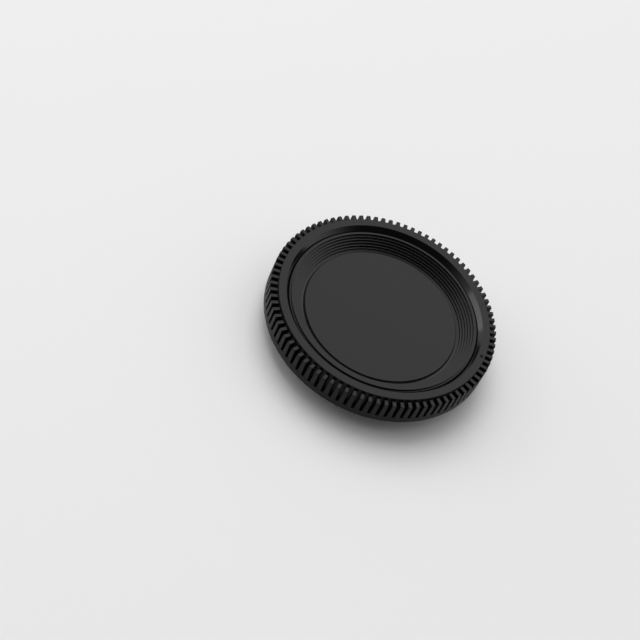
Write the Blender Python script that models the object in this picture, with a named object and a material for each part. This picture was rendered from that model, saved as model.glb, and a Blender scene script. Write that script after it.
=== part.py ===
"""Body cap that closes a camera's lens mount, as one black moulding.

It is modelled face up, the way it lies on a table: +Z is its axis, and z = 0 is the end of the
bayonet collar that it stands on. Lengths are in metres. Run it with
blender --background --python part.py, or from Blender's text editor.
"""
import math

import bmesh
import bpy
from mathutils import Matrix, Vector

MM = 0.001

# Overall sizes
FLANGE_RADIUS = 30.0 * MM
COLLAR_PROJECTION = 4.6 * MM     # collar's end to the flange's rear face
RIM_HEIGHT = 7.1 * MM            # flange's rear face to the front ring's face

# Flange, the smooth band below the grip
FLANGE_THICKNESS = 2.0 * MM
FLANGE_EDGE = 0.5 * MM           # chamfer round its rear edge

# Grip teeth
TOOTH_COUNT = 90
TOOTH_SETBACK = 0.2 * MM         # tips inside the flange's rim
TOOTH_DEPTH = 1.4 * MM
TOOTH_TIP_SHARE = 0.55           # of the pitch at the tips
TOOTH_ROOT_SHARE = 0.64          # of the pitch at the roots
TOOTH_DROP = 0.85 * MM           # top of the teeth below the ring's face
TOOTH_CHAMFER = 0.3 * MM

# Front ring, and the dish inside it: sloping wall, land, steps and floor
RING_SETBACK = 0.4 * MM          # inside the teeth's roots
RING_WIDTH = 2.0 * MM
RING_CHAMFER = 0.15 * MM
WALL_RUN = 1.05 * MM
LAND_DROP = 1.0 * MM             # land below the ring's face
LAND_WIDTH = 0.95 * MM
STEP_COUNT = 6
STEP_RUN = 0.58 * MM
STEP_DRAFT = 0.06 * MM           # how far each riser leans out
DISH_DEPTH = 3.9 * MM            # dish floor below the ring's face
FLOOR_LINE_INSET = 0.8 * MM      # groove that frames the floor, from the lowest riser
FLOOR_LINE_WIDTH = 0.5 * MM
FLOOR_LINE_DEPTH = 0.25 * MM
PLATE_THICKNESS = 1.2 * MM

# Small index pip on the front ring
PIP_RADIUS = 0.3 * MM
PIP_HEIGHT = 0.2 * MM
PIP_INSET = 0.8 * MM             # from the ring's outer edge to its middle
PIP_ANGLE = -1.6                 # degrees

# Collar
COLLAR_OUTSET = 1.2 * MM         # outside the lowest riser of the dish
COLLAR_WALL = 1.5 * MM
COLLAR_EDGE = 0.25 * MM
MARK_INSET = 11.0 * MM           # round witness line on the rear floor, from the collar
MARK_WIDTH = 0.3 * MM
MARK_DEPTH = 0.15 * MM

# Hollow between the collar and the rim: a shoulder, then a deeper groove
SHOULDER_OUTSET = 0.55 * MM      # outside the foot of the dish's sloping wall
SHOULDER_RISE = 0.5 * MM         # above the dish floor's level
SHOULDER_SLOPE = 0.5 * MM
GROOVE_STEP = 1.2 * MM           # deeper than the shoulder
LIP_WIDTH = 2.0 * MM             # flat of the flange's rear face, with the chamfer
LIP_DRAFT = 0.15 * MM

# Bayonet lugs
LUG_COUNT = 3
LUG_REACH = 1.2 * MM             # outside the collar
LUG_THICKNESS = 1.8 * MM
LUG_SEGMENTS = 12                # turned facets that one lug spans, the last as its lead-in
LUG_START = -76.0                # degrees

# Friction nubs round the collar
NUB_COUNT = 15
NUB_RADIUS = 0.5 * MM
NUB_TIP_RADIUS = 0.3 * MM
NUB_HEIGHT = 0.45 * MM
NUB_LEVEL = -0.1 * MM            # its middle, above the flange's rear face
NUB_START = 12.0                 # degrees
NUB_SIDES = 8

# Stop block between collar and shoulder edge
STOP_HEIGHT = 1.8 * MM
STOP_SETBACK = 0.1 * MM          # from the shoulder's edge
STOP_SIDE = 125.5                # degrees, its radial side
STOP_INNER_SPAN = 6.2            # degrees at the collar
STOP_OUTER_SPAN = 10.3           # degrees at the shoulder's edge

OVERLAP = 0.3 * MM               # how far joined or cut shapes run into each other

# Radii, each from the one outside it
TOOTH_TIP_RADIUS = FLANGE_RADIUS - TOOTH_SETBACK
TOOTH_ROOT_RADIUS = TOOTH_TIP_RADIUS - TOOTH_DEPTH
RING_OUTER_RADIUS = TOOTH_ROOT_RADIUS - RING_SETBACK
RING_INNER_RADIUS = RING_OUTER_RADIUS - RING_WIDTH
LAND_RADIUS = RING_INNER_RADIUS - WALL_RUN
STEP_TOP_RADIUS = LAND_RADIUS - LAND_WIDTH
STEP_FOOT_RADIUS = STEP_TOP_RADIUS - (STEP_COUNT - 1) * STEP_RUN
FLOOR_LINE_RADIUS = STEP_FOOT_RADIUS - FLOOR_LINE_INSET
SHOULDER_RADIUS = LAND_RADIUS + SHOULDER_OUTSET
COLLAR_RADIUS = STEP_FOOT_RADIUS + COLLAR_OUTSET
COLLAR_INNER_RADIUS = COLLAR_RADIUS - COLLAR_WALL
LUG_RADIUS = COLLAR_RADIUS + LUG_REACH
MARK_RADIUS = COLLAR_INNER_RADIUS - MARK_INSET

# Levels above the collar's end
LIP_Z = COLLAR_PROJECTION
RING_Z = LIP_Z + RIM_HEIGHT
FLANGE_TOP_Z = LIP_Z + FLANGE_THICKNESS
TOOTH_TOP_Z = RING_Z - TOOTH_DROP
LAND_Z = RING_Z - LAND_DROP
FLOOR_Z = RING_Z - DISH_DEPTH
REAR_FLOOR_Z = FLOOR_Z - PLATE_THICKNESS
SHOULDER_Z = FLOOR_Z + SHOULDER_RISE
GROOVE_Z = SHOULDER_Z + GROOVE_STEP

FACET = 360.0 / TOOTH_COUNT      # one turned facet for each tooth


def clear_scene():
    for item in list(bpy.data.objects):
        bpy.data.objects.remove(item, do_unlink=True)


def black_plastic():
    """Satin black moulding plastic."""
    material = bpy.data.materials.new("black_plastic")
    material.use_nodes = True
    shader = material.node_tree.nodes["Principled BSDF"]
    shader.inputs["Base Color"].default_value = (0.012, 0.012, 0.013, 1.0)
    shader.inputs["Roughness"].default_value = 0.32
    shader.inputs["Metallic"].default_value = 0.0
    material.diffuse_color = (0.04, 0.04, 0.042, 1.0)
    return material


def make_object(name, mesh_data):
    """Turn a bmesh into an object with outward normals."""
    bmesh.ops.recalc_face_normals(mesh_data, faces=mesh_data.faces)
    mesh = bpy.data.meshes.new(name)
    mesh_data.to_mesh(mesh)
    mesh_data.free()
    item = bpy.data.objects.new(name, mesh)
    bpy.context.scene.collection.objects.link(item)
    return item


def polar(radius, degrees, z=0.0):
    angle = math.radians(degrees)
    return Vector((radius * math.cos(angle), radius * math.sin(angle), z))


def v_groove(radius, width, z, depth):
    """Three profile points of a round V groove, from its inner edge to its outer one."""
    return [(radius - width / 2, z), (radius, z + depth), (radius + width / 2, z)]


def rear_profile():
    """From the middle of the rear floor out to the flange's rim."""
    points = [(0.0, REAR_FLOOR_Z)]
    points += v_groove(MARK_RADIUS, MARK_WIDTH, REAR_FLOOR_Z, MARK_DEPTH)
    points += [
        (COLLAR_INNER_RADIUS, REAR_FLOOR_Z),
        (COLLAR_INNER_RADIUS, COLLAR_EDGE),
        (COLLAR_INNER_RADIUS + COLLAR_EDGE, 0.0),
        (COLLAR_RADIUS - COLLAR_EDGE, 0.0),
        (COLLAR_RADIUS, COLLAR_EDGE),
        (COLLAR_RADIUS, SHOULDER_Z),
        (SHOULDER_RADIUS, SHOULDER_Z),
        (SHOULDER_RADIUS + SHOULDER_SLOPE, GROOVE_Z),
        (FLANGE_RADIUS - LIP_WIDTH - LIP_DRAFT, GROOVE_Z),
        (FLANGE_RADIUS - LIP_WIDTH, LIP_Z),
        (FLANGE_RADIUS - FLANGE_EDGE, LIP_Z),
        (FLANGE_RADIUS, LIP_Z + FLANGE_EDGE),
    ]
    return points


def step_profile():
    """The dish's steps, from the land down to the foot of the lowest riser."""
    rise = (LAND_Z - FLOOR_Z) / STEP_COUNT
    points = []
    for index in range(STEP_COUNT):
        radius = STEP_TOP_RADIUS - index * STEP_RUN
        top = LAND_Z - index * rise
        points.append((radius, top))
        points.append((radius - STEP_DRAFT, top - rise))
    return points


def front_profile():
    """From the flange's rim over the teeth and the ring to the middle of the dish."""
    points = [
        (FLANGE_RADIUS, FLANGE_TOP_Z),
        (TOOTH_TIP_RADIUS, FLANGE_TOP_Z),
        (TOOTH_TIP_RADIUS, TOOTH_TOP_Z - TOOTH_CHAMFER),
        (TOOTH_TIP_RADIUS - TOOTH_CHAMFER, TOOTH_TOP_Z),
        (RING_OUTER_RADIUS, TOOTH_TOP_Z),
        (RING_OUTER_RADIUS, RING_Z - RING_CHAMFER),
        (RING_OUTER_RADIUS - RING_CHAMFER, RING_Z),
        (RING_INNER_RADIUS, RING_Z),
        (LAND_RADIUS, LAND_Z),
    ]
    points += step_profile()
    points += reversed(v_groove(FLOOR_LINE_RADIUS, FLOOR_LINE_WIDTH, FLOOR_Z, -FLOOR_LINE_DEPTH))
    points.append((0.0, FLOOR_Z))
    return points


def turned_body():
    """The cap's section, turned about the axis."""
    outline = bmesh.new()
    verts = [outline.verts.new((radius, 0.0, z)) for radius, z in rear_profile() + front_profile()]
    edges = [outline.edges.new(pair) for pair in zip(verts, verts[1:])]
    bmesh.ops.spin(outline, geom=verts + edges, axis=(0, 0, 1), cent=(0, 0, 0),
                   steps=TOOTH_COUNT, angle=2 * math.pi, use_duplicate=False)
    bmesh.ops.remove_doubles(outline, verts=outline.verts, dist=0.001 * MM)
    return make_object("body_cap", outline)


def prism(mesh_data, corners, bottom, top):
    """A straight prism on a plan outline of (x, y) points."""
    low = [mesh_data.verts.new((x, y, bottom)) for x, y in corners]
    high = [mesh_data.verts.new((x, y, top)) for x, y in corners]
    mesh_data.faces.new(reversed(low))
    mesh_data.faces.new(high)
    for index in range(len(corners)):
        after = (index + 1) % len(corners)
        mesh_data.faces.new((low[index], low[after], high[after], high[index]))


def tooth_gaps():
    """One wedge for each gap between teeth, as a single cutter."""
    def half_gap(radius, tooth_share):
        return math.pi * radius / TOOTH_COUNT * (1 - tooth_share)

    root = half_gap(TOOTH_ROOT_RADIUS, TOOTH_ROOT_SHARE)
    tip = half_gap(TOOTH_TIP_RADIUS, TOOTH_TIP_SHARE)
    outside = FLANGE_RADIUS + OVERLAP
    reach = (outside - TOOTH_ROOT_RADIUS) / TOOTH_DEPTH
    far = root + (tip - root) * reach
    wedge = [(TOOTH_ROOT_RADIUS, -root), (outside, -far), (outside, far), (TOOTH_ROOT_RADIUS, root)]
    gaps = bmesh.new()
    for index in range(TOOTH_COUNT):
        turn = Matrix.Rotation(math.radians(index * FACET), 2)
        corners = [turn @ Vector(corner) for corner in wedge]
        prism(gaps, corners, FLANGE_TOP_Z, RING_Z + OVERLAP)
    return make_object("tooth_gaps", gaps)


def bayonet_lugs():
    """Curved bars round the collar's end, each with a lead-in that slopes into the collar."""
    lugs = bmesh.new()
    inside = COLLAR_RADIUS - COLLAR_WALL / 2
    for index in range(LUG_COUNT):
        start = LUG_START + index * 360.0 / LUG_COUNT
        angles = [start + step * FACET for step in range(LUG_SEGMENTS + 1)]
        corners = [polar(LUG_RADIUS, angle).xy for angle in angles[:-1]]
        corners += [polar(inside, angle).xy for angle in reversed(angles)]
        prism(lugs, corners, 0.0, LUG_THICKNESS)
    return make_object("bayonet_lugs", lugs)


def stop_block():
    """Tapered block that stands on the shoulder, against the collar."""
    block = bmesh.new()
    inside = COLLAR_RADIUS - COLLAR_WALL / 2
    outside = SHOULDER_RADIUS - STOP_SETBACK
    corners = [
        polar(inside, STOP_SIDE - STOP_INNER_SPAN).xy,
        polar(outside, STOP_SIDE - STOP_OUTER_SPAN).xy,
        polar(outside, STOP_SIDE).xy,
        polar(inside, STOP_SIDE).xy,
    ]
    prism(block, corners, SHOULDER_Z - STOP_HEIGHT, SHOULDER_Z + OVERLAP)
    return make_object("stop_block", block)


def friction_nubs():
    """Small cones round the collar, level with the flange's rear face."""
    nubs = bmesh.new()
    length = NUB_HEIGHT + OVERLAP
    middle = COLLAR_RADIUS + NUB_HEIGHT - length / 2
    for index in range(NUB_COUNT):
        turn = Matrix.Rotation(math.radians(NUB_START + index * 360.0 / NUB_COUNT), 4, "Z")
        place = Matrix.Translation((middle, 0.0, LIP_Z + NUB_LEVEL))
        lie_down = Matrix.Rotation(math.pi / 2, 4, "Y")
        bmesh.ops.create_cone(nubs, cap_ends=True, segments=NUB_SIDES, radius1=NUB_RADIUS,
                              radius2=NUB_TIP_RADIUS, depth=length, matrix=turn @ place @ lie_down)
    return make_object("friction_nubs", nubs)


def index_pip():
    pip = bmesh.new()
    place = polar(RING_OUTER_RADIUS - PIP_INSET, PIP_ANGLE, RING_Z + PIP_HEIGHT / 2 - OVERLAP / 2)
    bmesh.ops.create_cone(pip, cap_ends=True, segments=NUB_SIDES, radius1=PIP_RADIUS,
                          radius2=PIP_RADIUS, depth=PIP_HEIGHT + OVERLAP,
                          matrix=Matrix.Translation(place))
    return make_object("index_pip", pip)


def combine(body, other, operation):
    """Add or cut another shape with a live Boolean, and keep that shape as a hidden tool."""
    modifier = body.modifiers.new(other.name, "BOOLEAN")
    modifier.operation = operation
    modifier.solver = "EXACT"
    modifier.object = other
    other.parent = body
    other.hide_render = True
    other.display_type = "WIRE"


def build():
    clear_scene()
    body = turned_body()
    body.data.materials.append(black_plastic())
    combine(body, tooth_gaps(), "DIFFERENCE")
    combine(body, bayonet_lugs(), "UNION")
    combine(body, stop_block(), "UNION")
    combine(body, friction_nubs(), "UNION")
    combine(body, index_pip(), "UNION")


build()
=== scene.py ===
"""Camera body cap: one black moulding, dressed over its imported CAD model.

Every piece is made by an operator of its own, listed in the sidebar's Body Cap tab. Lengths are in
metres in the CAD model's frame: +Z is the cap's axis, and z = 0 is the end of the bayonet collar.
"""
import math
from types import SimpleNamespace

import bmesh
import bpy
from mathutils import Matrix, Vector


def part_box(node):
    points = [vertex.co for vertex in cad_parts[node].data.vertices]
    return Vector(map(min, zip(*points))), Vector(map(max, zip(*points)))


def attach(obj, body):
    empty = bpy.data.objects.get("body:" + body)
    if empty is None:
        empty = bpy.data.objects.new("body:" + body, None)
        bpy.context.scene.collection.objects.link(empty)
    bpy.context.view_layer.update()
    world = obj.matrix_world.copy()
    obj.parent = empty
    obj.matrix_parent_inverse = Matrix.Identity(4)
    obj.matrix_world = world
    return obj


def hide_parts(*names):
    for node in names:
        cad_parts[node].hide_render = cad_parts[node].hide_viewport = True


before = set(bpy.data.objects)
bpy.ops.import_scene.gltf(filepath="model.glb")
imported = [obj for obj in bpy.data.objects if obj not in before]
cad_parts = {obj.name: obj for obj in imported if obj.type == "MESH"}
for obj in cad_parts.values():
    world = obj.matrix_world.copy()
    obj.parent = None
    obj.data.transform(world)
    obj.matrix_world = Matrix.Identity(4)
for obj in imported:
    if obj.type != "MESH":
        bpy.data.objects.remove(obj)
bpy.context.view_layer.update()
CAP_LOW, CAP_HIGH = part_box("body_cap")

bl_info = {
    "name": "Camera Body Cap",
    "version": (1, 0, 0),
    "blender": (4, 5, 0),
    "location": "View3D > Sidebar > Body Cap",
    "description": "Builds a camera body cap in black plastic, piece by piece",
    "category": "Add Mesh",
}

MM = 0.001
MERGE_DISTANCE = 0.0002 * MM

# Photograph's view of the cap, fitted to its rims
TILT = math.radians(40.47)           # between the cap's axis and the line of sight
ROLL = math.radians(26.52)           # the camera's turn about that line
PIXELS_PER_METRE = 118.46 / (30.0 * MM)   # the rim's radius in the picture, over its real one
VIEW_DISTANCE = 1600.0               # pixels
VIEW_CENTRE = (61.1, 4.85)           # dish's middle, right of and above the picture's, in pixels
PICTURE_WIDTH = 640.0                # pixels
SENSOR_WIDTH = 36.0                  # millimetres


def length(name, description, default):
    return bpy.props.FloatProperty(name=name, description=description, default=default,
                                   min=0.0, unit="LENGTH", precision=5)


def turn(name, description, degrees):
    return bpy.props.FloatProperty(name=name, description=description,
                                   default=math.radians(degrees), unit="ROTATION")


def number(name, description, default, low=1):
    return bpy.props.IntProperty(name=name, description=description, default=default, min=low)


def level(name, description, default):
    return bpy.props.FloatProperty(name=name, description=description, default=default,
                                   min=0.0, max=1.0, subtype="FACTOR")


def colour(name, description, default):
    return bpy.props.FloatVectorProperty(name=name, description=description, default=default,
                                         size=3, min=0.0, max=1.0, subtype="COLOR")


class RimSizes(bpy.types.PropertyGroup):
    """Flange, grip teeth and front ring."""
    flange_radius: length("Flange radius", "Outer radius of the smooth band below the grip",
                          (CAP_HIGH.y - CAP_LOW.y) / 2)
    flange_thickness: length("Flange thickness", "Height of the smooth band", 1.85 * MM)
    rim_height: length("Rim height", "From the flange's rear face to the ring's face", 7.1 * MM)
    tooth_count: number("Teeth", "How many teeth the grip has", 90, 3)
    tooth_setback: length("Tooth setback", "Tips inside the flange's rim", 0.03 * MM)
    tooth_depth_top: length("Tooth depth at top", "Tip to root at the tooth's top", 1.92 * MM)
    tooth_depth_foot: length("Tooth depth at foot", "Tip to root at the flange", 1.42 * MM)
    tooth_width_top: length("Tooth width at top", "Across a tip at the top", 1.05 * MM)
    tooth_width_foot: length("Tooth width at foot", "Across a tip at the flange", 1.4 * MM)
    tooth_drop: length("Tooth drop", "Tops of the teeth below the ring's face", 0.66 * MM)
    tooth_edge: length("Tooth edge", "Rounding of a tooth's edges", 0.18 * MM)
    ring_setback: length("Ring setback", "Ring's wall inside the teeth's roots", 0.02 * MM)
    ring_width: length("Ring width", "Flat front ring", 2.0 * MM)
    pip_radius: length("Pip radius", "Small index pip on the ring", 0.46 * MM)
    pip_height: length("Pip height", "Pip above the ring's face", 0.2 * MM)
    pip_inset: length("Pip inset", "Pip's middle from the ring's outer edge", 0.9 * MM)
    pip_angle: turn("Pip angle", "Pip's place round the ring", -1.4)


class DishSizes(bpy.types.PropertyGroup):
    """Stepped dish inside the front ring."""
    wall_run: length("Wall run", "Width of the sloping wall down to the land's level", 0.8 * MM)
    land_drop: length("Land drop", "Land below the ring's face", 1.0 * MM)
    land_width: length("Land width", "From the steps to the wall, at the land's level", 1.3 * MM)
    gutter_width: length("Gutter width", "Channel along the foot of the wall", 0.76 * MM)
    gutter_depth: length("Gutter depth", "Depth of that channel", 0.45 * MM)
    step_count: number("Steps", "Risers from the land to the floor", 6)
    step_run: length("Step run", "Width of one tread", 0.56 * MM)
    step_draft: length("Step draft", "How far a riser leans out", 0.06 * MM)
    dish_depth: length("Dish depth", "Floor below the ring's face", 3.9 * MM)
    line_inset: length("Line inset", "Floor's frame line from the lowest riser", 1.05 * MM)
    line_width: length("Line width", "Width of the floor's frame line", 0.9 * MM)
    line_side: length("Line side", "Run of the line's steep inner side", 0.26 * MM)
    line_depth: length("Line depth", "Depth of the floor's frame line", 0.34 * MM)
    plate_thickness: length("Plate thickness", "Between the front and rear floors", 1.2 * MM)


class RearSizes(bpy.types.PropertyGroup):
    """Bayonet collar and the hollow round it."""
    collar_projection: length("Collar projection", "Collar's end beyond the flange", 4.6 * MM)
    collar_outset: length("Collar outset", "Outside the dish's lowest riser", 1.2 * MM)
    collar_wall: length("Collar wall", "Thickness of the collar", 1.5 * MM)
    mark_inset: length("Mark inset", "Round witness line from the collar's bore", 11.0 * MM)
    shoulder_outset: length("Shoulder outset", "Outside the foot of the dish's wall", 0.55 * MM)
    shoulder_rise: length("Shoulder rise", "Above the dish floor's level", 0.5 * MM)
    shoulder_slope: length("Shoulder slope", "Run of the slope into the groove", 0.5 * MM)
    groove_step: length("Groove step", "Groove's floor deeper than the shoulder", 1.2 * MM)
    lip_width: length("Lip width", "Flat of the flange's rear face", 2.0 * MM)
    lip_draft: length("Lip draft", "Lean of the groove's outer wall", 0.15 * MM)
    lug_count: number("Lugs", "How many bayonet lugs", 3)
    lug_reach: length("Lug reach", "Lugs beyond the collar", 1.2 * MM)
    lug_thickness: length("Lug thickness", "Height of a lug", 1.8 * MM)
    lug_start: turn("Lug start", "Square end of the first lug", -76.0)
    lug_span: turn("Lug span", "Angle of a lug with its lead-in", 48.0)
    lug_lead: turn("Lug lead-in", "Angle of the sloping end", 4.0)
    nub_count: number("Nubs", "Friction nubs round the collar", 15)
    nub_radius: length("Nub radius", "Radius of a nub's foot", 0.5 * MM)
    nub_height: length("Nub height", "Nub beyond the collar", 0.45 * MM)
    nub_drop: length("Nub drop", "Nub's middle below the flange's rear face", 0.1 * MM)
    nub_start: turn("Nub start", "Place of the first nub", 12.0)
    stop_height: length("Stop height", "Stop block above the shoulder's floor", 1.8 * MM)
    stop_setback: length("Stop setback", "Stop block inside the shoulder's edge", 0.1 * MM)
    stop_side: turn("Stop side", "Radial side of the stop block", 125.5)
    stop_inner_span: turn("Stop inner span", "Stop block's angle at the collar", 6.2)
    stop_outer_span: turn("Stop outer span", "Stop block's angle at the shoulder's edge", 10.3)


class CapFinish(bpy.types.PropertyGroup):
    """Colours and gloss of the moulding and the stage."""
    front_colour: colour("Front colour", "Satin black of the front", (0.0020, 0.0020, 0.0022))
    grip_colour: colour("Grip colour", "Matte black of the grip", (0.0020, 0.0020, 0.0022))
    rear_colour: colour("Rear colour", "Polished black of the rear", (0.0020, 0.0020, 0.0022))
    front_roughness: level("Front roughness", "Roughness of the satin front", 0.14)
    grip_roughness: level("Grip roughness", "Roughness of the matte grip", 0.45)
    # Grip shine below plain plastic's is painted shade: it darkens what the grip's faces reflect.
    # The matte roughness is the grip's own.
    grip_shine_dimmed_as_painted_shade: level("Grip shine", "Strength of the matte grip's reflection", 0.21)
    rear_roughness: level("Rear roughness", "Roughness of the polished rear", 0.10)
    floor_colour: colour("Floor colour", "Pale floor under the cap", (0.79, 0.79, 0.79))


def sizes():
    """Every radius and level that the properties give, each radius from the one outside it."""
    scene = bpy.context.scene
    rim, dish, rear = scene.cap_rim, scene.cap_dish, scene.cap_rear
    at = SimpleNamespace(rim=rim, dish=dish, rear=rear)
    at.flange = rim.flange_radius
    at.tip = at.flange - rim.tooth_setback
    at.root_top = at.tip - rim.tooth_depth_top
    at.root_foot = at.tip - rim.tooth_depth_foot
    at.ring_outer = at.root_top - rim.ring_setback
    at.ring_inner = at.ring_outer - rim.ring_width
    at.land = at.ring_inner - dish.wall_run
    at.step_top = at.land - dish.land_width
    at.step_foot = at.step_top - (dish.step_count - 1) * dish.step_run
    at.line = at.step_foot - dish.line_inset
    at.shoulder = at.land + rear.shoulder_outset
    at.collar = at.step_foot + rear.collar_outset
    at.bore = at.collar - rear.collar_wall
    at.mark = at.bore - rear.mark_inset
    at.lip_inner = at.flange - rear.lip_width
    at.lip_z = rear.collar_projection
    at.ring_z = at.lip_z + rim.rim_height
    at.flange_z = at.lip_z + rim.flange_thickness
    at.tooth_z = at.ring_z - rim.tooth_drop
    at.land_z = at.ring_z - dish.land_drop
    at.floor_z = at.ring_z - dish.dish_depth
    at.rear_floor_z = at.floor_z - dish.plate_thickness
    at.shoulder_z = at.floor_z + rear.shoulder_rise
    at.groove_z = at.shoulder_z + rear.groove_step
    return at


# Section of the turned moulding

TURN_SEGMENTS = 288                  # facets round the axis
FILLET_STEPS = 3                     # straight parts of a rounding
FILLET_SHARE = 0.45                  # most that a rounding takes of a side
GUIDE_RADIUS = 60.0 * MM             # circle that carries the section round, before its offset
REAR_MARK = "rear"                   # points whose faces get a finish of their own
GRIP_MARK = "grip"
TOP_MARK = "top"
# Faces between these corners take the grip's finish, whose dimmed reflection is painted shade.
GRIP_CORNERS = 6                     # from the flange's rear edge to the ring's outer edge
MARK_WIDTH = 0.3 * MM
MARK_DEPTH = 0.15 * MM
LEDGE_DROP = 0.03 * MM               # floor between the teeth's tops, below them
TOOTH_BURY = 0.12 * MM               # teeth into the rim's thin wall, clear of the rear groove
GUTTER_DRAFT = 0.05 * MM
FINE_EDGE = 0.03 * MM                # roundings of the section's corners
STEP_EDGE = 0.04 * MM
SOFT_EDGE = 0.12 * MM
RING_EDGE = 0.09 * MM
DEEP_EDGE = 0.25 * MM
RIM_EDGE = 0.2 * MM


def v_groove(radius, width, z, depth):
    """Three points of a round V groove, from its inner edge to its outer one."""
    return [(radius - width / 2, z, FINE_EDGE), (radius, z + depth, FINE_EDGE),
            (radius + width / 2, z, FINE_EDGE)]


def rear_section(at):
    """(radius, z, rounding) from the middle of the rear floor out to the flange's rim."""
    rear = at.rear
    return [
        (0.0, at.rear_floor_z, 0.0),
        *v_groove(at.mark, MARK_WIDTH, at.rear_floor_z, MARK_DEPTH),
        (at.bore, at.rear_floor_z, DEEP_EDGE),
        (at.bore, 0.0, DEEP_EDGE),
        (at.collar, 0.0, DEEP_EDGE),
        (at.collar, at.shoulder_z, DEEP_EDGE),
        (at.shoulder, at.shoulder_z, SOFT_EDGE),
        (at.shoulder + rear.shoulder_slope, at.groove_z, DEEP_EDGE),
        (at.lip_inner - rear.lip_draft, at.groove_z, DEEP_EDGE),
        (at.lip_inner, at.lip_z, SOFT_EDGE),
        (at.flange, at.lip_z, RIM_EDGE),
    ]


def front_section(at):
    """(radius, z, rounding) from the flange's top over the ring to the middle of the dish."""
    dish = at.dish
    ledge_z = at.tooth_z - LEDGE_DROP
    slant = dish.wall_run / dish.land_drop
    points = [
        (at.flange, at.flange_z, SOFT_EDGE),
        (at.root_foot, at.flange_z, SOFT_EDGE),
        (at.root_top, ledge_z, FINE_EDGE),
        (at.ring_outer, ledge_z, FINE_EDGE),
        (at.ring_outer, at.ring_z, RING_EDGE),
        (at.ring_inner, at.ring_z, RING_EDGE),
        (at.land - dish.gutter_depth * slant, at.land_z - dish.gutter_depth, FINE_EDGE),
        (at.land - dish.gutter_width + GUTTER_DRAFT, at.land_z - dish.gutter_depth, FINE_EDGE),
        (at.land - dish.gutter_width, at.land_z, FINE_EDGE),
    ]
    rise = (at.land_z - at.floor_z) / dish.step_count
    for index in range(dish.step_count):
        radius = at.step_top - index * dish.step_run
        top = at.land_z - index * rise
        foot_edge = SOFT_EDGE if index == dish.step_count - 1 else STEP_EDGE
        points += [(radius, top, STEP_EDGE),
                   (radius - dish.step_draft, top - rise, foot_edge)]
    points += [(at.line + dish.line_width, at.floor_z, FINE_EDGE),
               (at.line + dish.line_side, at.floor_z - dish.line_depth, FINE_EDGE),
               (at.line, at.floor_z, FINE_EDGE),
               (0.0, at.floor_z, 0.0)]
    return points


def rounded(points):
    """Each corner's points, on its rounding, as a list of lists."""
    corners = []
    for index, (radius, z, rounding) in enumerate(points):
        corner = Vector((radius, z))
        smooth = []
        corners.append(smooth)
        if rounding == 0.0:
            smooth.append(corner)
            continue
        before = Vector(points[index - 1][:2]) - corner
        after = Vector(points[index + 1][:2]) - corner
        half = before.angle(after) / 2
        reach = min(rounding / math.tan(half),
                    before.length * FILLET_SHARE, after.length * FILLET_SHARE)
        start = corner + before.normalized() * reach
        end = corner + after.normalized() * reach
        for step in range(FILLET_STEPS + 1):
            part = step / FILLET_STEPS
            first = start.lerp(corner, part)
            smooth.append(first.lerp(corner.lerp(end, part), part))
    return corners


def section_mesh(at):
    """The section as a chain of edges whose rear and grip points are marked.

    Y is -z here, because a profile is stood up head down when a curve carries it.
    """
    rear = rear_section(at)
    chain = bmesh.new()
    layers = chain.verts.layers.bool
    layers.new(REAR_MARK)
    layers.new(GRIP_MARK)
    behind, grip = layers[REAR_MARK], layers[GRIP_MARK]
    first = len(rear) - 1
    for index, corner in enumerate(rounded(rear + front_section(at))):
        for radius, z in corner:
            vert = chain.verts.new((radius, -z, 0.0))
            vert[behind] = index < len(rear)
            vert[grip] = first <= index < first + GRIP_CORNERS
    verts = list(chain.verts)
    for pair in zip(verts, verts[1:]):
        chain.edges.new(pair)
    mesh = bpy.data.meshes.new("cap_section")
    chain.to_mesh(mesh)
    chain.free()
    return mesh


# Node trees, for meshes and for materials

class Value:
    """A socket of a node tree whose sums are written as Python sums."""

    def __init__(self, tree, socket):
        self.tree = tree
        self.socket = socket

    def math(self, operation, *numbers):
        return self.tree.add("ShaderNodeMath", {"operation": operation}, dict(enumerate(numbers)))

    def __add__(self, other):
        return self.math("ADD", self, other)

    def __radd__(self, other):
        return self.math("ADD", other, self)

    def __sub__(self, other):
        return self.math("SUBTRACT", self, other)

    def __rsub__(self, other):
        return self.math("SUBTRACT", other, self)

    def __mul__(self, other):
        return self.math("MULTIPLY", self, other)

    def __rmul__(self, other):
        return self.math("MULTIPLY", other, self)

    def __truediv__(self, other):
        return self.math("DIVIDE", self, other)

    def __rtruediv__(self, other):
        return self.math("DIVIDE", other, self)


class Tree:
    """A node tree that is built by calls."""

    def __init__(self, tree):
        self.tree = tree

    def add(self, kind, settings=None, inputs=None, output=0):
        """A node of this type with its settings and inputs, as the value of one output."""
        node = self.tree.nodes.new(kind)
        for name, value in (settings or {}).items():
            setattr(node, name, value)
        for name, value in (inputs or {}).items():
            self.put(node.inputs[name], value)
        return Value(self, node.outputs[output])

    def put(self, socket, value):
        if isinstance(value, Value):
            self.tree.links.new(value.socket, socket)
        else:
            socket.default_value = value

    def ramp(self, value, start, end, low, high):
        """A smooth rise from low to high as the value goes from start to end."""
        return self.add("ShaderNodeMapRange", {"interpolation_type": "SMOOTHSTEP"},
                        {"Value": value, "From Min": start, "From Max": end,
                         "To Min": low, "To Max": high})

    def hand_out(self, value):
        """Ends the tree with this value."""
        self.put(self.tree.nodes.new("NodeGroupOutput").inputs[0], value)


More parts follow.
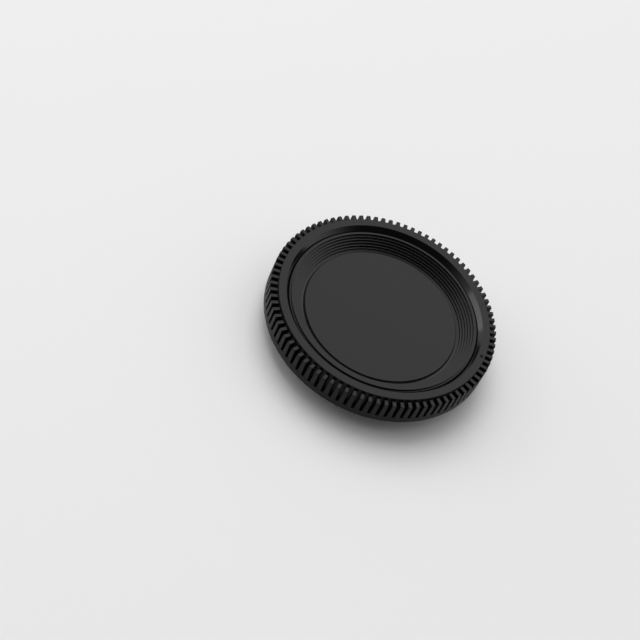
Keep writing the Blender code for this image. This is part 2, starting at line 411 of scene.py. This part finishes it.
def mesh_tree(name, numbers):
    """A Geometry Nodes tree with a mesh, a material and these named inputs."""
    group = bpy.data.node_groups.new(name, "GeometryNodeTree")
    face = group.interface
    face.new_socket("Mesh", in_out="OUTPUT", socket_type="NodeSocketGeometry")
    face.new_socket("Mesh", in_out="INPUT", socket_type="NodeSocketGeometry")
    face.new_socket("Material", in_out="INPUT", socket_type="NodeSocketMaterial")
    for label, kind in numbers.items():
        face.new_socket(label, in_out="INPUT", socket_type=kind)
    tree = Tree(group)
    entry = group.nodes.new("NodeGroupInput")
    given = {socket.name: Value(tree, socket) for socket in entry.outputs if socket.name}
    return tree, given


def finish_tree(tree, material, mesh):
    """Makes copies real and gives them their material."""
    solid = tree.add("GeometryNodeRealizeInstances", None, {"Geometry": mesh})
    return tree.add("GeometryNodeSetMaterial", None, {"Geometry": solid, "Material": material})


def finish_marked(tree, mark, material, mesh):
    """Gives the faces whose points all carry a mark a material of their own."""
    chosen = tree.add("GeometryNodeInputNamedAttribute", {"data_type": "BOOLEAN"}, {"Name": mark})
    return tree.add("GeometryNodeSetMaterial", None,
                    {"Geometry": mesh, "Selection": chosen, "Material": material})


def turned_tree():
    """Carries a section, drawn as edges in the XY plane, once round the Z axis."""
    tree, given = mesh_tree("turned_section", {"Segments": "NodeSocketInt",
                                               "Rear Material": "NodeSocketMaterial",
                                               "Grip Material": "NodeSocketMaterial"})
    section = tree.add("GeometryNodeMeshToCurve", None, {"Mesh": given["Mesh"]})
    inset = tree.add("GeometryNodeTransform", None,
                     {"Geometry": section, "Translation": (-GUIDE_RADIUS, 0.0, 0.0)})
    guide = tree.add("GeometryNodeCurvePrimitiveCircle", {"mode": "RADIUS"},
                     {"Resolution": given["Segments"], "Radius": GUIDE_RADIUS})
    upright = tree.add("GeometryNodeSetCurveNormal", {"mode": "Z_UP"}, {"Curve": guide})
    shell = tree.add("GeometryNodeCurveToMesh", None, {"Curve": upright, "Profile Curve": inset})
    closed = tree.add("GeometryNodeMergeByDistance", None,
                      {"Geometry": shell, "Distance": MERGE_DISTANCE})
    dressed = finish_tree(tree, given["Material"], closed)
    for mark, finish in ((REAR_MARK, "Rear Material"), (GRIP_MARK, "Grip Material")):
        dressed = finish_marked(tree, mark, given[finish], dressed)
    tree.hand_out(dressed)
    return tree.tree


def copies_tree():
    """Sets copies of a mesh evenly round the Z axis, with a finish of their own for marked tops."""
    tree, given = mesh_tree("copies_round_axis", {"Count": "NodeSocketInt",
                                                  "Start": "NodeSocketFloat",
                                                  "Top Material": "NodeSocketMaterial"})
    points = tree.add("GeometryNodePoints", None,
                      {"Count": given["Count"], "Position": (0.0, 0.0, 0.0)})
    index = tree.add("GeometryNodeInputIndex")
    pitch = math.tau / given["Count"]
    angle = tree.add("ShaderNodeCombineXYZ", None, {"Z": index * pitch + given["Start"]})
    facing = tree.add("FunctionNodeEulerToRotation", None, {"Euler": angle})
    copies = tree.add("GeometryNodeInstanceOnPoints", None,
                      {"Points": points, "Instance": given["Mesh"], "Rotation": facing})
    dressed = finish_tree(tree, given["Material"], copies)
    tree.hand_out(finish_marked(tree, TOP_MARK, given["Top Material"], dressed))
    return tree.tree


# Finishes

# The grip's finish is matte, and its reflection is also turned down as painted shade.
SATIN, MATTE_WITH_PAINTED_SHADE, POLISHED = "satin_black_front", "matte_black_grip_painted_shade", "polished_black_rear"
FLOW_NOISE = {"Scale": 170.0, "Detail": 3.0, "Roughness": 0.55}    # patches some millimetres wide
GRAIN_NOISE = {"Scale": 3800.0, "Detail": 2.0, "Roughness": 0.5}   # the mould's fine grain
FLOW_SWING = 0.06                    # change of roughness from patch to patch
GRAIN_SWING = 0.04                   # and from grain to grain
GRAIN_HEIGHT = 0.005 * MM
GRAIN_STRENGTHS = {SATIN: 0.25, MATTE_WITH_PAINTED_SHADE: 0.3, POLISHED: 0.08}
TINT_SHARES = (0.82, 1.2)            # darkest and palest tint, as shares of the colour
PLASTIC_SHINE = 0.5                  # reflection of smooth plastic
MIX_FACTOR, MIX_A, MIX_B, MIX_RESULT = 0, 6, 7, 2    # a Mix node's sockets for colours


def opaque(tone):
    return (*tone, 1.0)


def plastic(name, base, roughness, shine):
    """Moulded black plastic: a faint grain, and a slow change of tint and gloss."""
    material = bpy.data.materials.new(name)
    material.use_nodes = True
    tree = Tree(material.node_tree)
    shader = material.node_tree.nodes["Principled BSDF"]
    place = tree.add("ShaderNodeTexCoord", output="Object")
    flow = tree.add("ShaderNodeTexNoise", None, {"Vector": place, **FLOW_NOISE})
    fine = tree.add("ShaderNodeTexNoise", None, {"Vector": place, **GRAIN_NOISE})
    dark, pale = [opaque(part * share for part in base) for share in TINT_SHARES]
    tint = tree.add("ShaderNodeMix", {"data_type": "RGBA"},
                    {MIX_FACTOR: flow, MIX_A: dark, MIX_B: pale}, output=MIX_RESULT)
    tree.put(shader.inputs["Base Color"], tint)
    tree.put(shader.inputs["Roughness"],
             (flow - 0.5) * FLOW_SWING + (fine - 0.5) * GRAIN_SWING + roughness)
    shader.inputs["Specular IOR Level"].default_value = shine
    bump = tree.add("ShaderNodeBump", None, {"Strength": GRAIN_STRENGTHS[name],
                                             "Distance": GRAIN_HEIGHT, "Height": fine})
    tree.put(shader.inputs["Normal"], bump)
    material.diffuse_color = opaque(base)
    return material


def finish_named(name):
    """The front's satin, the grip's matte with its reflection turned down as painted shade, or the
    rear's polished plastic, made once.
    """
    look = bpy.context.scene.cap_finish
    if name in bpy.data.materials:
        return bpy.data.materials[name]
    looks = {SATIN: (look.front_colour, look.front_roughness, PLASTIC_SHINE),
             MATTE_WITH_PAINTED_SHADE: (look.grip_colour, look.grip_roughness, look.grip_shine_dimmed_as_painted_shade),
             POLISHED: (look.rear_colour, look.rear_roughness, PLASTIC_SHINE)}
    return plastic(name, *looks[name])


# Making pieces

SHARP_ANGLE = math.radians(50)       # an edge that turns more stays sharp
FACE_WEIGHT = 100                    # the modifier's highest, so that large faces stay flat
BEVEL_STEPS = 3
BEVEL_PROFILE = 0.5                  # round
PIECE_BURY = 0.25 * MM               # foot of a raised piece, inside the moulding
LUG_LIFT = 0.015 * MM                # lugs above the collar's end
NUB_SIDES = 16
PIP_SIDES = 24
NUB_DOME = ((0.0, 1.0), (0.45, 0.9), (0.8, 0.68), (1.0, 0.35))    # shares of height and of radius
PIP_DOME = ((0.0, 1.0), (0.5, 0.97), (0.75, 0.86), (0.93, 0.6), (1.0, 0.2))


def add_object(name, mesh):
    piece = bpy.data.objects.new(name, mesh)
    bpy.context.scene.collection.objects.link(piece)
    return piece


def mesh_from(name, shape):
    """A mesh with outward normals from a bmesh."""
    bmesh.ops.remove_doubles(shape, verts=shape.verts, dist=MERGE_DISTANCE)
    bmesh.ops.recalc_face_normals(shape, faces=shape.faces)
    mesh = bpy.data.meshes.new(name)
    shape.to_mesh(mesh)
    shape.free()
    return mesh


def made_by_nodes(piece, group, values):
    """Runs a node tree on a piece and keeps the result as its plain mesh."""
    modifier = piece.modifiers.new(group.name, "NODES")
    modifier.node_group = group
    for item in group.interface.items_tree:
        if item.name in values:
            modifier[item.identifier] = values[item.name]
    bake(piece)


def bake(piece):
    """Applies a piece's modifiers to its mesh."""
    bpy.context.view_layer.update()
    shown = piece.evaluated_get(bpy.context.evaluated_depsgraph_get())
    mesh = bpy.data.meshes.new_from_object(shown)
    piece.modifiers.clear()
    old = piece.data
    piece.data = mesh
    bpy.data.meshes.remove(old)
    mesh.name = piece.name


def close_up(piece):
    """Merges doubles and turns every face outward."""
    shape = bmesh.new()
    shape.from_mesh(piece.data)
    bmesh.ops.remove_doubles(shape, verts=shape.verts, dist=MERGE_DISTANCE)
    bmesh.ops.recalc_face_normals(shape, faces=shape.faces)
    if any(not edge.is_manifold for edge in shape.edges):
        raise RuntimeError(piece.name + " isn't a closed mesh")
    shape.to_mesh(piece.data)
    shape.free()


def soften(piece):
    """Smooth shading that keeps flat faces flat and unrounded edges sharp.

    The modifier takes areas below about a square millimetre for nothing when they are in metres,
    so the mesh is in millimetres while it works.
    """
    piece.data.transform(Matrix.Scale(1 / MM, 4))
    for polygon in piece.data.polygons:
        polygon.use_smooth = True
    piece.data.set_sharp_from_angle(angle=SHARP_ANGLE)
    modifier = piece.modifiers.new("flat_faces", "WEIGHTED_NORMAL")
    modifier.mode = "FACE_AREA"
    modifier.weight = FACE_WEIGHT
    modifier.keep_sharp = True
    bake(piece)
    piece.data.transform(Matrix.Scale(MM, 4))


def hand_over(piece):
    """Shades a made piece and gives it to the frame as part of the moulding."""
    soften(piece)
    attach(piece, "root")
    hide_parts("body_cap")


def set_round(name, shape, count, start, finishes):
    """Sets copies of a shape evenly round the axis, as one piece with these finishes."""
    piece = add_object(name, mesh_from(name, shape))
    materials = {label: finish_named(finish) for label, finish in finishes.items()}
    made_by_nodes(piece, copies_tree(), {"Count": count, "Start": start, **materials})
    close_up(piece)
    hand_over(piece)


def set_once(name, shape, finish):
    """Makes a shape one piece with this finish."""
    piece = add_object(name, mesh_from(name, shape))
    piece.data.materials.append(finish_named(finish))
    hand_over(piece)


def polar(radius, angle, z=0.0):
    return Vector((radius * math.cos(angle), radius * math.sin(angle), z))


def lofted(rings):
    """A closed block through rings of as many points each, from its foot to its top."""
    shape = bmesh.new()
    loops = [[shape.verts.new(point) for point in ring] for ring in rings]
    shape.faces.new(reversed(loops[0]))
    shape.faces.new(loops[-1])
    for below, above in zip(loops, loops[1:]):
        for side in range(len(below)):
            after = (side + 1) % len(below)
            shape.faces.new((below[side], below[after], above[after], above[side]))
    bmesh.ops.recalc_face_normals(shape, faces=shape.faces)
    return shape


def standing(plan, low, high):
    """A closed block over a flat outline, from one level to another."""
    return lofted([[point + Vector((0.0, 0.0, z)) for point in plan] for z in (low, high)])


def dome(radius, height, shares, sides):
    """Rings of a low dome on the Z axis, from its buried foot to its top."""
    outline = [(-PIECE_BURY, 1.0)] + [(height * up, out) for up, out in shares]
    return [[polar(radius * out, math.tau * side / sides, z) for side in range(sides)]
            for z, out in outline]


def round_edges(shape, width, chosen):
    """Bevels the edges of a block that the test chooses by the places of their two ends."""
    edges = [edge for edge in shape.edges if chosen(*[vert.co for vert in edge.verts])]
    bmesh.ops.bevel(shape, geom=edges, offset=width, segments=BEVEL_STEPS,
                    profile=BEVEL_PROFILE, affect="EDGES", clamp_overlap=True)


class BODYCAP_OT_turned_moulding(bpy.types.Operator):
    """Turn the cap's section: flange, ring, dish, plate, collar and rear hollow"""
    bl_idname = "bodycap.turned_moulding"
    bl_label = "Turned Moulding"

    def execute(self, context):
        piece = add_object("turned_moulding", section_mesh(sizes()))
        made_by_nodes(piece, turned_tree(), {"Segments": TURN_SEGMENTS,
                                             "Material": finish_named(SATIN),
                                             "Rear Material": finish_named(POLISHED),
                                             "Grip Material": finish_named(MATTE_WITH_PAINTED_SHADE)})
        close_up(piece)
        hand_over(piece)
        return {"FINISHED"}


class BODYCAP_OT_grip_teeth(bpy.types.Operator):
    """Set the tapered grip teeth round the rim"""
    bl_idname = "bodycap.grip_teeth"
    bl_label = "Grip Teeth"

    def execute(self, context):
        at = sizes()
        rim = at.rim

        def outline(width, root, z):
            inner = root - TOOTH_BURY
            spread = width / at.tip * inner
            return [Vector((inner, -spread / 2, z)), Vector((at.tip, -width / 2, z)),
                    Vector((at.tip, width / 2, z)), Vector((inner, spread / 2, z))]

        shape = lofted([outline(rim.tooth_width_foot, at.root_foot, at.flange_z - rim.tooth_edge),
                        outline(rim.tooth_width_top, at.root_top, at.tooth_z)])
        top = at.tooth_z - FINE_EDGE
        tip = at.tip - FINE_EDGE

        def meets_tip(*ends):
            """The top's edges that reach the tip, and the tip's that reach the top."""
            high = [end.z > top for end in ends]
            out = [end.x > tip for end in ends]
            return all(high) and any(out) or all(out) and any(high)

        round_edges(shape, rim.tooth_edge, meets_tip)
        mark = shape.verts.layers.bool.new(TOP_MARK)
        for vert in shape.verts:
            vert[mark] = vert.co.z > at.tooth_z - rim.tooth_edge / 2
        half_pitch = math.pi / rim.tooth_count
        # Tooth sides and ends take the grip's finish, darkened as painted shade; the tops take the
        # satin.
        set_round("grip_teeth", shape, rim.tooth_count, half_pitch,
                  {"Material": MATTE_WITH_PAINTED_SHADE, "Top Material": SATIN})
        return {"FINISHED"}


class BODYCAP_OT_bayonet_lugs(bpy.types.Operator):
    """Set the bayonet lugs round the collar's end"""
    bl_idname = "bodycap.bayonet_lugs"
    bl_label = "Bayonet Lugs"

    def execute(self, context):
        at = sizes()
        rear = at.rear
        inside = at.collar - rear.collar_wall / 2
        outside = at.collar + rear.lug_reach
        steps = round(math.degrees(rear.lug_span))
        angles = [rear.lug_span * step / steps for step in range(steps + 1)]
        outer = []
        for angle in angles:
            led = max(0.0, angle - (rear.lug_span - rear.lug_lead)) / rear.lug_lead
            outer.append(polar(outside - (outside - inside) * led * led, angle))
        plan = outer[:-1] + [polar(inside, angle) for angle in reversed(angles)]
        shape = standing(plan, LUG_LIFT, rear.lug_thickness)
        clear = at.collar + FINE_EDGE
        round_edges(shape, SOFT_EDGE, lambda *ends: all(end.xy.length > clear for end in ends))
        set_round("bayonet_lugs", shape, rear.lug_count, rear.lug_start, {"Material": POLISHED})
        return {"FINISHED"}


class BODYCAP_OT_friction_nubs(bpy.types.Operator):
    """Set the small friction nubs round the collar"""
    bl_idname = "bodycap.friction_nubs"
    bl_label = "Friction Nubs"

    def execute(self, context):
        at = sizes()
        rear = at.rear
        level = at.lip_z - rear.nub_drop
        rings = [[Vector((at.collar + point.z, point.x, level + point.y)) for point in ring]
                 for ring in dome(rear.nub_radius, rear.nub_height, NUB_DOME, NUB_SIDES)]
        set_round("friction_nubs", lofted(rings), rear.nub_count, rear.nub_start,
                  {"Material": POLISHED})
        return {"FINISHED"}


class BODYCAP_OT_stop_block(bpy.types.Operator):
    """Stand the tapered stop block on the shoulder, against the collar"""
    bl_idname = "bodycap.stop_block"
    bl_label = "Stop Block"

    def execute(self, context):
        at = sizes()
        rear = at.rear
        inside = at.collar - rear.collar_wall / 2
        outside = at.shoulder - rear.stop_setback
        side = rear.stop_side
        plan = [polar(inside, side - rear.stop_inner_span),
                polar(outside, side - rear.stop_outer_span),
                polar(outside, side), polar(inside, side)]
        shape = standing(plan, at.shoulder_z - rear.stop_height, at.shoulder_z + PIECE_BURY)
        round_edges(shape, SOFT_EDGE,
                    lambda *ends: all(end.z < at.shoulder_z or end.xy.length > at.collar
                                      for end in ends))
        set_once("stop_block", shape, POLISHED)
        return {"FINISHED"}


class BODYCAP_OT_index_pip(bpy.types.Operator):
    """Raise the small index pip on the front ring"""
    bl_idname = "bodycap.index_pip"
    bl_label = "Index Pip"

    def execute(self, context):
        at = sizes()
        rim = at.rim
        place = polar(at.ring_outer - rim.pip_inset, rim.pip_angle, at.ring_z)
        rings = [[place + point for point in ring]
                 for ring in dome(rim.pip_radius, rim.pip_height, PIP_DOME, PIP_SIDES)]
        # In the grip's dimmed finish the pip shows as a dark dot: painted shade.
        set_once("index_pip", lofted(rings), MATTE_WITH_PAINTED_SHADE)
        return {"FINISHED"}


# Stage

FLOOR_REACH = 3.0                    # metres from the middle to a side
FLOOR_ROUGHNESS = 0.7
WALL_GLOW = 0.85                     # strength of the studio's walls, at the horizon
WALL_TOP = (0.1, 0.4)                # where they give way to the sky, as sines of the height
SKY_RISE = (-0.65, 0.25)             # from over the camera to behind the cap
SKY_GLOW = (0.04, 0.9)               # strength at either end
SKY_LEAN = 0.25                      # how far the bright end turns to the left
LAMPS = (("soft_box", 1.2, 14.5, (-0.45, 0.75, 1.35), False),
         ("side_window", 0.76, 2.25, (-1.1, 0.08, 0.37), True))
NEAR_CLIP = 10 * MM


class BODYCAP_OT_stage(bpy.types.Operator):
    """Lay the pale floor, hang the soft light and set the camera at the photograph's angle"""
    bl_idname = "bodycap.stage"
    bl_label = "Stage"

    def execute(self, context):
        self.lay_floor(context)
        self.light_sky(context)
        for lamp in LAMPS:
            self.hang_lamp(*lamp)
        self.set_camera(context)
        context.scene.view_settings.view_transform = "Standard"
        return {"FINISHED"}

    def lay_floor(self, context):
        shape = bmesh.new()
        bmesh.ops.create_grid(shape, x_segments=1, y_segments=1, size=FLOOR_REACH)
        floor = add_object("pale_floor", mesh_from("pale_floor", shape))
        material = bpy.data.materials.new("pale_floor")
        material.use_nodes = True
        shader = material.node_tree.nodes["Principled BSDF"]
        shader.inputs["Base Color"].default_value = opaque(context.scene.cap_finish.floor_colour)
        shader.inputs["Roughness"].default_value = FLOOR_ROUGHNESS
        floor.data.materials.append(material)

    def light_sky(self, context):
        """Soft light from pale walls all round, and a sky that is dim over the camera."""
        world = bpy.data.worlds.new("studio_walls")
        world.use_nodes = True
        context.scene.world = world
        tree = Tree(world.node_tree)
        place = tree.add("ShaderNodeTexCoord", output="Generated")
        across, depth, height = [tree.add("ShaderNodeSeparateXYZ", None, {"Vector": place}, axis)
                                 for axis in "XYZ"]
        sky = tree.ramp(depth - across * SKY_LEAN, *SKY_RISE, *SKY_GLOW)
        lifted = tree.ramp(height, *WALL_TOP, 0.0, 1.0)
        background = world.node_tree.nodes["Background"]
        background.inputs["Color"].default_value = opaque((1.0, 1.0, 1.0))
        tree.put(background.inputs["Strength"], sky * lifted + (1 - lifted) * WALL_GLOW)

    def hang_lamp(self, name, side, power, place, mirrored):
        """A square soft light that faces the cap, in metres and watts.

        The cap's gloss shows it only where it is mirrored.
        """
        data = bpy.data.lights.new(name, "AREA")
        data.shape = "SQUARE"
        data.size = side
        data.energy = power
        lamp = add_object(name, data)
        lamp.location = place
        lamp.visible_glossy = mirrored
        lamp.rotation_euler = (-lamp.location).to_track_quat("-Z", "Y").to_euler()

    def set_camera(self, context):
        at = sizes()
        sin_tilt, cos_tilt = math.sin(TILT), math.cos(TILT)
        sin_roll, cos_roll = math.sin(ROLL), math.cos(ROLL)
        right = Vector((cos_roll, sin_roll * cos_tilt, sin_roll * sin_tilt))
        up = Vector((-sin_roll, cos_roll * cos_tilt, cos_roll * sin_tilt))
        back = Vector((0.0, -sin_tilt, cos_tilt))
        across, above = VIEW_CENTRE
        place = (back * VIEW_DISTANCE - right * across - up * above) / PIXELS_PER_METRE
        data = bpy.data.cameras.new("camera")
        data.sensor_width = SENSOR_WIDTH
        data.lens = SENSOR_WIDTH * VIEW_DISTANCE / PICTURE_WIDTH
        data.clip_start = NEAR_CLIP
        camera = add_object("camera", data)
        axes = Matrix((right, up, back)).transposed().to_4x4()
        camera.matrix_world = Matrix.Translation(place + Vector((0, 0, at.floor_z))) @ axes
        context.scene.camera = camera


class BODYCAP_PT_sidebar(bpy.types.Panel):
    """Sizes and finishes of the body cap, and a button for each piece"""
    bl_label = "Body Cap"
    bl_idname = "BODYCAP_PT_sidebar"
    bl_space_type = "VIEW_3D"
    bl_region_type = "UI"
    bl_category = "Body Cap"

    def draw(self, context):
        scene = context.scene
        for title, group in (("Rim", scene.cap_rim), ("Dish", scene.cap_dish),
                             ("Rear", scene.cap_rear), ("Finish", scene.cap_finish)):
            box = self.layout.box()
            box.label(text=title)
            for name in group.bl_rna.properties.keys():
                if name not in ("rna_type", "name"):
                    box.prop(group, name)
        for operator in OPERATORS:
            self.layout.operator(operator.bl_idname)


GROUPS = {"cap_rim": RimSizes, "cap_dish": DishSizes, "cap_rear": RearSizes,
          "cap_finish": CapFinish}
OPERATORS = (BODYCAP_OT_turned_moulding, BODYCAP_OT_grip_teeth, BODYCAP_OT_bayonet_lugs,
             BODYCAP_OT_friction_nubs, BODYCAP_OT_stop_block, BODYCAP_OT_index_pip,
             BODYCAP_OT_stage)


def register():
    for name, group in GROUPS.items():
        bpy.utils.register_class(group)
        setattr(bpy.types.Scene, name, bpy.props.PointerProperty(type=group))
    for entry in (*OPERATORS, BODYCAP_PT_sidebar):
        bpy.utils.register_class(entry)


def unregister():
    for entry in reversed((*OPERATORS, BODYCAP_PT_sidebar)):
        bpy.utils.unregister_class(entry)
    for name, group in GROUPS.items():
        delattr(bpy.types.Scene, name)
        bpy.utils.unregister_class(group)


def main():
    register()
    for operator in OPERATORS:
        family, action = operator.bl_idname.split(".")
        getattr(getattr(bpy.ops, family), action)()


if __name__ == "__main__":
    main()
